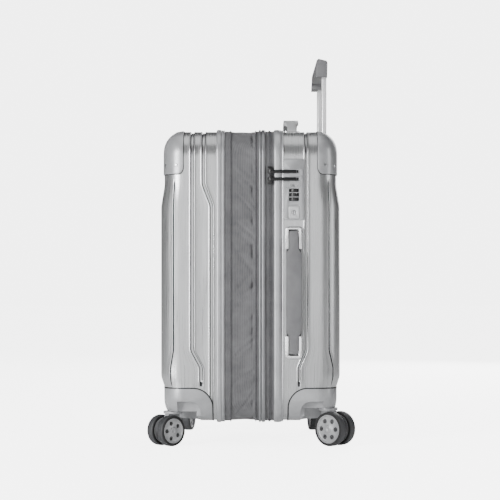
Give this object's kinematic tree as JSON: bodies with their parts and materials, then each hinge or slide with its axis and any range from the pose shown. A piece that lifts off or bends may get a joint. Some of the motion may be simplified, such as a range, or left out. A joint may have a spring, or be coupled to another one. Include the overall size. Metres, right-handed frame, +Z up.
{
  "type": "hard shell suitcase",
  "caption": "Expandable hard shell cabin suitcase with zip closure, combination lock, pull handle, carry handles and swivelling twin-wheel casters.",
  "frame": {"origin": "on the floor under the middle of the case", "axes": "+Z up, the front shell faces -Y, +X towards the lock and the side handle"},
  "size_m": [0.3935, 0.3641, 0.682],
  "materials": {
    "shell": "brushed metal film",
    "frame": "satin",
    "zip_tape": "woven",
    "gusset": "woven",
    "guard": "satin",
    "rivet": "polished",
    "piping": "matt",
    "lining": "woven",
    "strap": "woven elastic",
    "black_plastic": "matt",
    "tube": "anodised",
    "steel": "plain",
    "grip": "satin",
    "chrome_cap": "polished",
    "lock_case": "satin",
    "dial": "matt",
    "black_metal": "satin",
    "foot": "satin",
    "fork": "satin",
    "wheel": "matt"
  },
  "bodies": {
    "rear_case": {"rear_shell": "shell", "rear_rim_frame": "frame", "main_zip_rear_tape": "zip_tape", "rear_corner_guards": "guard", "rear_guard_rivets": "rivet", "rear_wheel_housings": "guard", "rear_housing_gaskets": "piping", "rear_lining": "lining", "packing_straps": "strap", "strap_buckle": "black_plastic", "trolley_outer_tubes": "tube", "trolley_bezel": "black_plastic", "trolley_bracket": "black_plastic", "lock_body": "lock_case", "handle_bases": "grip", "handle_end_caps": "chrome_cap", "zip_sliders": "black_metal", "rear_side_feet": "foot"},
    "side_grip": {"side_handle_grip": "grip"},
    "top_grip": {"top_handle_grip": "grip"},
    "dial_upper": {"lock_dial_upper": "dial"},
    "dial_middle": {"lock_dial_middle": "dial"},
    "dial_lower": {"lock_dial_lower": "dial"},
    "release_button": {"lock_release_button": "lock_case"},
    "key_core": {"lock_key_core": "lock_case"},
    "pull_upper": {"zip_pull_upper": "black_metal"},
    "pull_lower": {"zip_pull_lower": "black_metal"},
    "trolley_middle": {"trolley_middle_tubes": "tube", "trolley_middle_collars": "black_plastic"},
    "trolley_inner": {"trolley_inner_tubes": "tube", "trolley_grip": "grip"},
    "trolley_push": {"trolley_button": "black_plastic", "trolley_push_rods": "steel"},
    "mid_frame": {"middle_frame": "frame", "main_zip_front_tape": "zip_tape", "expansion_zip_rear_tape": "zip_tape", "hinge_fabric": "zip_tape"},
    "front_case": {"front_shell": "shell", "front_rim_frame": "frame", "expansion_zip_front_tape": "zip_tape", "expansion_gusset": "gusset", "front_corner_guards": "guard", "front_guard_rivets": "rivet", "front_wheel_housings": "guard", "front_housing_gaskets": "piping", "front_lining": "lining", "front_side_feet": "foot"},
    "caster_front_right": {"caster_fork_front_right": "fork"},
    "wheel_front_right_a": {"caster_wheel_front_right_a": "wheel"},
    "wheel_front_right_b": {"caster_wheel_front_right_b": "wheel"},
    "caster_front_left": {"caster_fork_front_left": "fork"},
    "wheel_front_left_a": {"caster_wheel_front_left_a": "wheel"},
    "wheel_front_left_b": {"caster_wheel_front_left_b": "wheel"},
    "caster_rear_right": {"caster_fork_rear_right": "fork"},
    "wheel_rear_right_a": {"caster_wheel_rear_right_a": "wheel"},
    "wheel_rear_right_b": {"caster_wheel_rear_right_b": "wheel"},
    "caster_rear_left": {"caster_fork_rear_left": "fork"},
    "wheel_rear_left_a": {"caster_wheel_rear_left_a": "wheel"},
    "wheel_rear_left_b": {"caster_wheel_rear_left_b": "wheel"}
  },
  "joints": [
    {"name": "lid_hinge", "type": "hinge", "parent": "rear_case", "child": "mid_frame", "pos_m": [-0.196, 0.03325, 0.2965], "axis": [0, 0, -1], "range_deg": [0, 180]},
    {"name": "expansion_slide", "type": "slide", "parent": "mid_frame", "child": "front_case", "axis": [0, 1, 0], "range_m": [0, 0.04], "deforming": ["expansion_gusset"]},
    {"name": "trolley_middle_slide", "type": "slide", "parent": "rear_case", "child": "trolley_middle", "axis": [0, 0, 1], "range_m": [0, 0.23]},
    {"name": "trolley_inner_slide", "type": "slide", "parent": "trolley_middle", "child": "trolley_inner", "axis": [0, 0, 1], "range_m": [-0.13, 0.12]},
    {"name": "trolley_button_slide", "type": "slide", "parent": "trolley_inner", "child": "trolley_push", "axis": [0, 0, -1], "range_m": [0, 0.0035], "stiffness_N_per_m": 600, "springref_m": -0.004},
    {"name": "side_handle_lift", "type": "slide", "parent": "rear_case", "child": "side_grip", "axis": [1, 0, 0], "range_m": [0, 0.014], "stiffness_N_per_m": 150, "springref_m": -0.004},
    {"name": "top_handle_lift", "type": "slide", "parent": "rear_case", "child": "top_grip", "axis": [0, 0, 1], "range_m": [0, 0.014], "stiffness_N_per_m": 150, "springref_m": -0.004},
    {"name": "dial_upper_turn", "type": "hinge", "parent": "rear_case", "child": "dial_upper", "pos_m": [0.182, 0.07525, 0.444], "axis": [0, 0, 1], "continuous": true},
    {"name": "dial_middle_turn", "type": "hinge", "parent": "rear_case", "child": "dial_middle", "pos_m": [0.182, 0.07525, 0.4365], "axis": [0, 0, 1], "continuous": true},
    {"name": "dial_lower_turn", "type": "hinge", "parent": "rear_case", "child": "dial_lower", "pos_m": [0.182, 0.07525, 0.429], "axis": [0, 0, 1], "continuous": true},
    {"name": "release_button_slide", "type": "slide", "parent": "rear_case", "child": "release_button", "axis": [-1, 0, 0], "range_m": [0, 0.003], "stiffness_N_per_m": 400, "springref_m": -0.002},
    {"name": "key_turn", "type": "hinge", "parent": "rear_case", "child": "key_core", "pos_m": [0.185, 0.07525, 0.406], "axis": [1, 0, 0], "range_deg": [0, 90]},
    {"name": "zip_pull_upper_hinge", "type": "hinge", "parent": "rear_case", "child": "pull_upper", "pos_m": [0.1926, 0.03425, 0.4765], "axis": [0, 0, -1], "range_deg": [0, 150]},
    {"name": "zip_pull_lower_hinge", "type": "hinge", "parent": "rear_case", "child": "pull_lower", "pos_m": [0.1926, 0.03425, 0.4635], "axis": [0, 0, -1], "range_deg": [0, 150]},
    {"name": "swivel_front_right", "type": "hinge", "parent": "front_case", "child": "caster_front_right", "pos_m": [0.143, -0.13575, 0.06], "axis": [0, 0, 1], "continuous": true},
    {"name": "roll_front_right_a", "type": "hinge", "parent": "caster_front_right", "child": "wheel_front_right_a", "pos_m": [0.15391, -0.14745, 0.027], "axis": [0.7314, 0.682, 0], "continuous": true},
    {"name": "roll_front_right_b", "type": "hinge", "parent": "caster_front_right", "child": "wheel_front_right_b", "pos_m": [0.15391, -0.14745, 0.027], "axis": [0.7314, 0.682, 0], "continuous": true},
    {"name": "swivel_front_left", "type": "hinge", "parent": "front_case", "child": "caster_front_left", "pos_m": [-0.143, -0.13575, 0.06], "axis": [0, 0, 1], "continuous": true},
    {"name": "roll_front_left_a", "type": "hinge", "parent": "caster_front_left", "child": "wheel_front_left_a", "pos_m": [-0.15865, -0.13242, 0.027], "axis": [-0.2079, -0.9781, 0], "continuous": true},
    {"name": "roll_front_left_b", "type": "hinge", "parent": "caster_front_left", "child": "wheel_front_left_b", "pos_m": [-0.15865, -0.13242, 0.027], "axis": [-0.2079, -0.9781, 0], "continuous": true},
    {"name": "swivel_rear_right", "type": "hinge", "parent": "rear_case", "child": "caster_rear_right", "pos_m": [0.143, 0.13575, 0.066], "axis": [0, 0, 1], "continuous": true},
    {"name": "roll_rear_right_a", "type": "hinge", "parent": "caster_rear_right", "child": "wheel_rear_right_a", "pos_m": [0.1535, 0.14783, 0.03], "axis": [-0.7547, 0.6561, 0], "continuous": true},
    {"name": "roll_rear_right_b", "type": "hinge", "parent": "caster_rear_right", "child": "wheel_rear_right_b", "pos_m": [0.1535, 0.14783, 0.03], "axis": [-0.7547, 0.6561, 0], "continuous": true},
    {"name": "swivel_rear_left", "type": "hinge", "parent": "rear_case", "child": "caster_rear_left", "pos_m": [-0.143, 0.13575, 0.066], "axis": [0, 0, 1], "continuous": true},
    {"name": "roll_rear_left_a", "type": "hinge", "parent": "caster_rear_left", "child": "wheel_rear_left_a", "pos_m": [-0.15891, 0.13408, 0.03], "axis": [0.1045, -0.9945, 0], "continuous": true},
    {"name": "roll_rear_left_b", "type": "hinge", "parent": "caster_rear_left", "child": "wheel_rear_left_b", "pos_m": [-0.15891, 0.13408, 0.03], "axis": [0.1045, -0.9945, 0], "continuous": true}
  ]
}
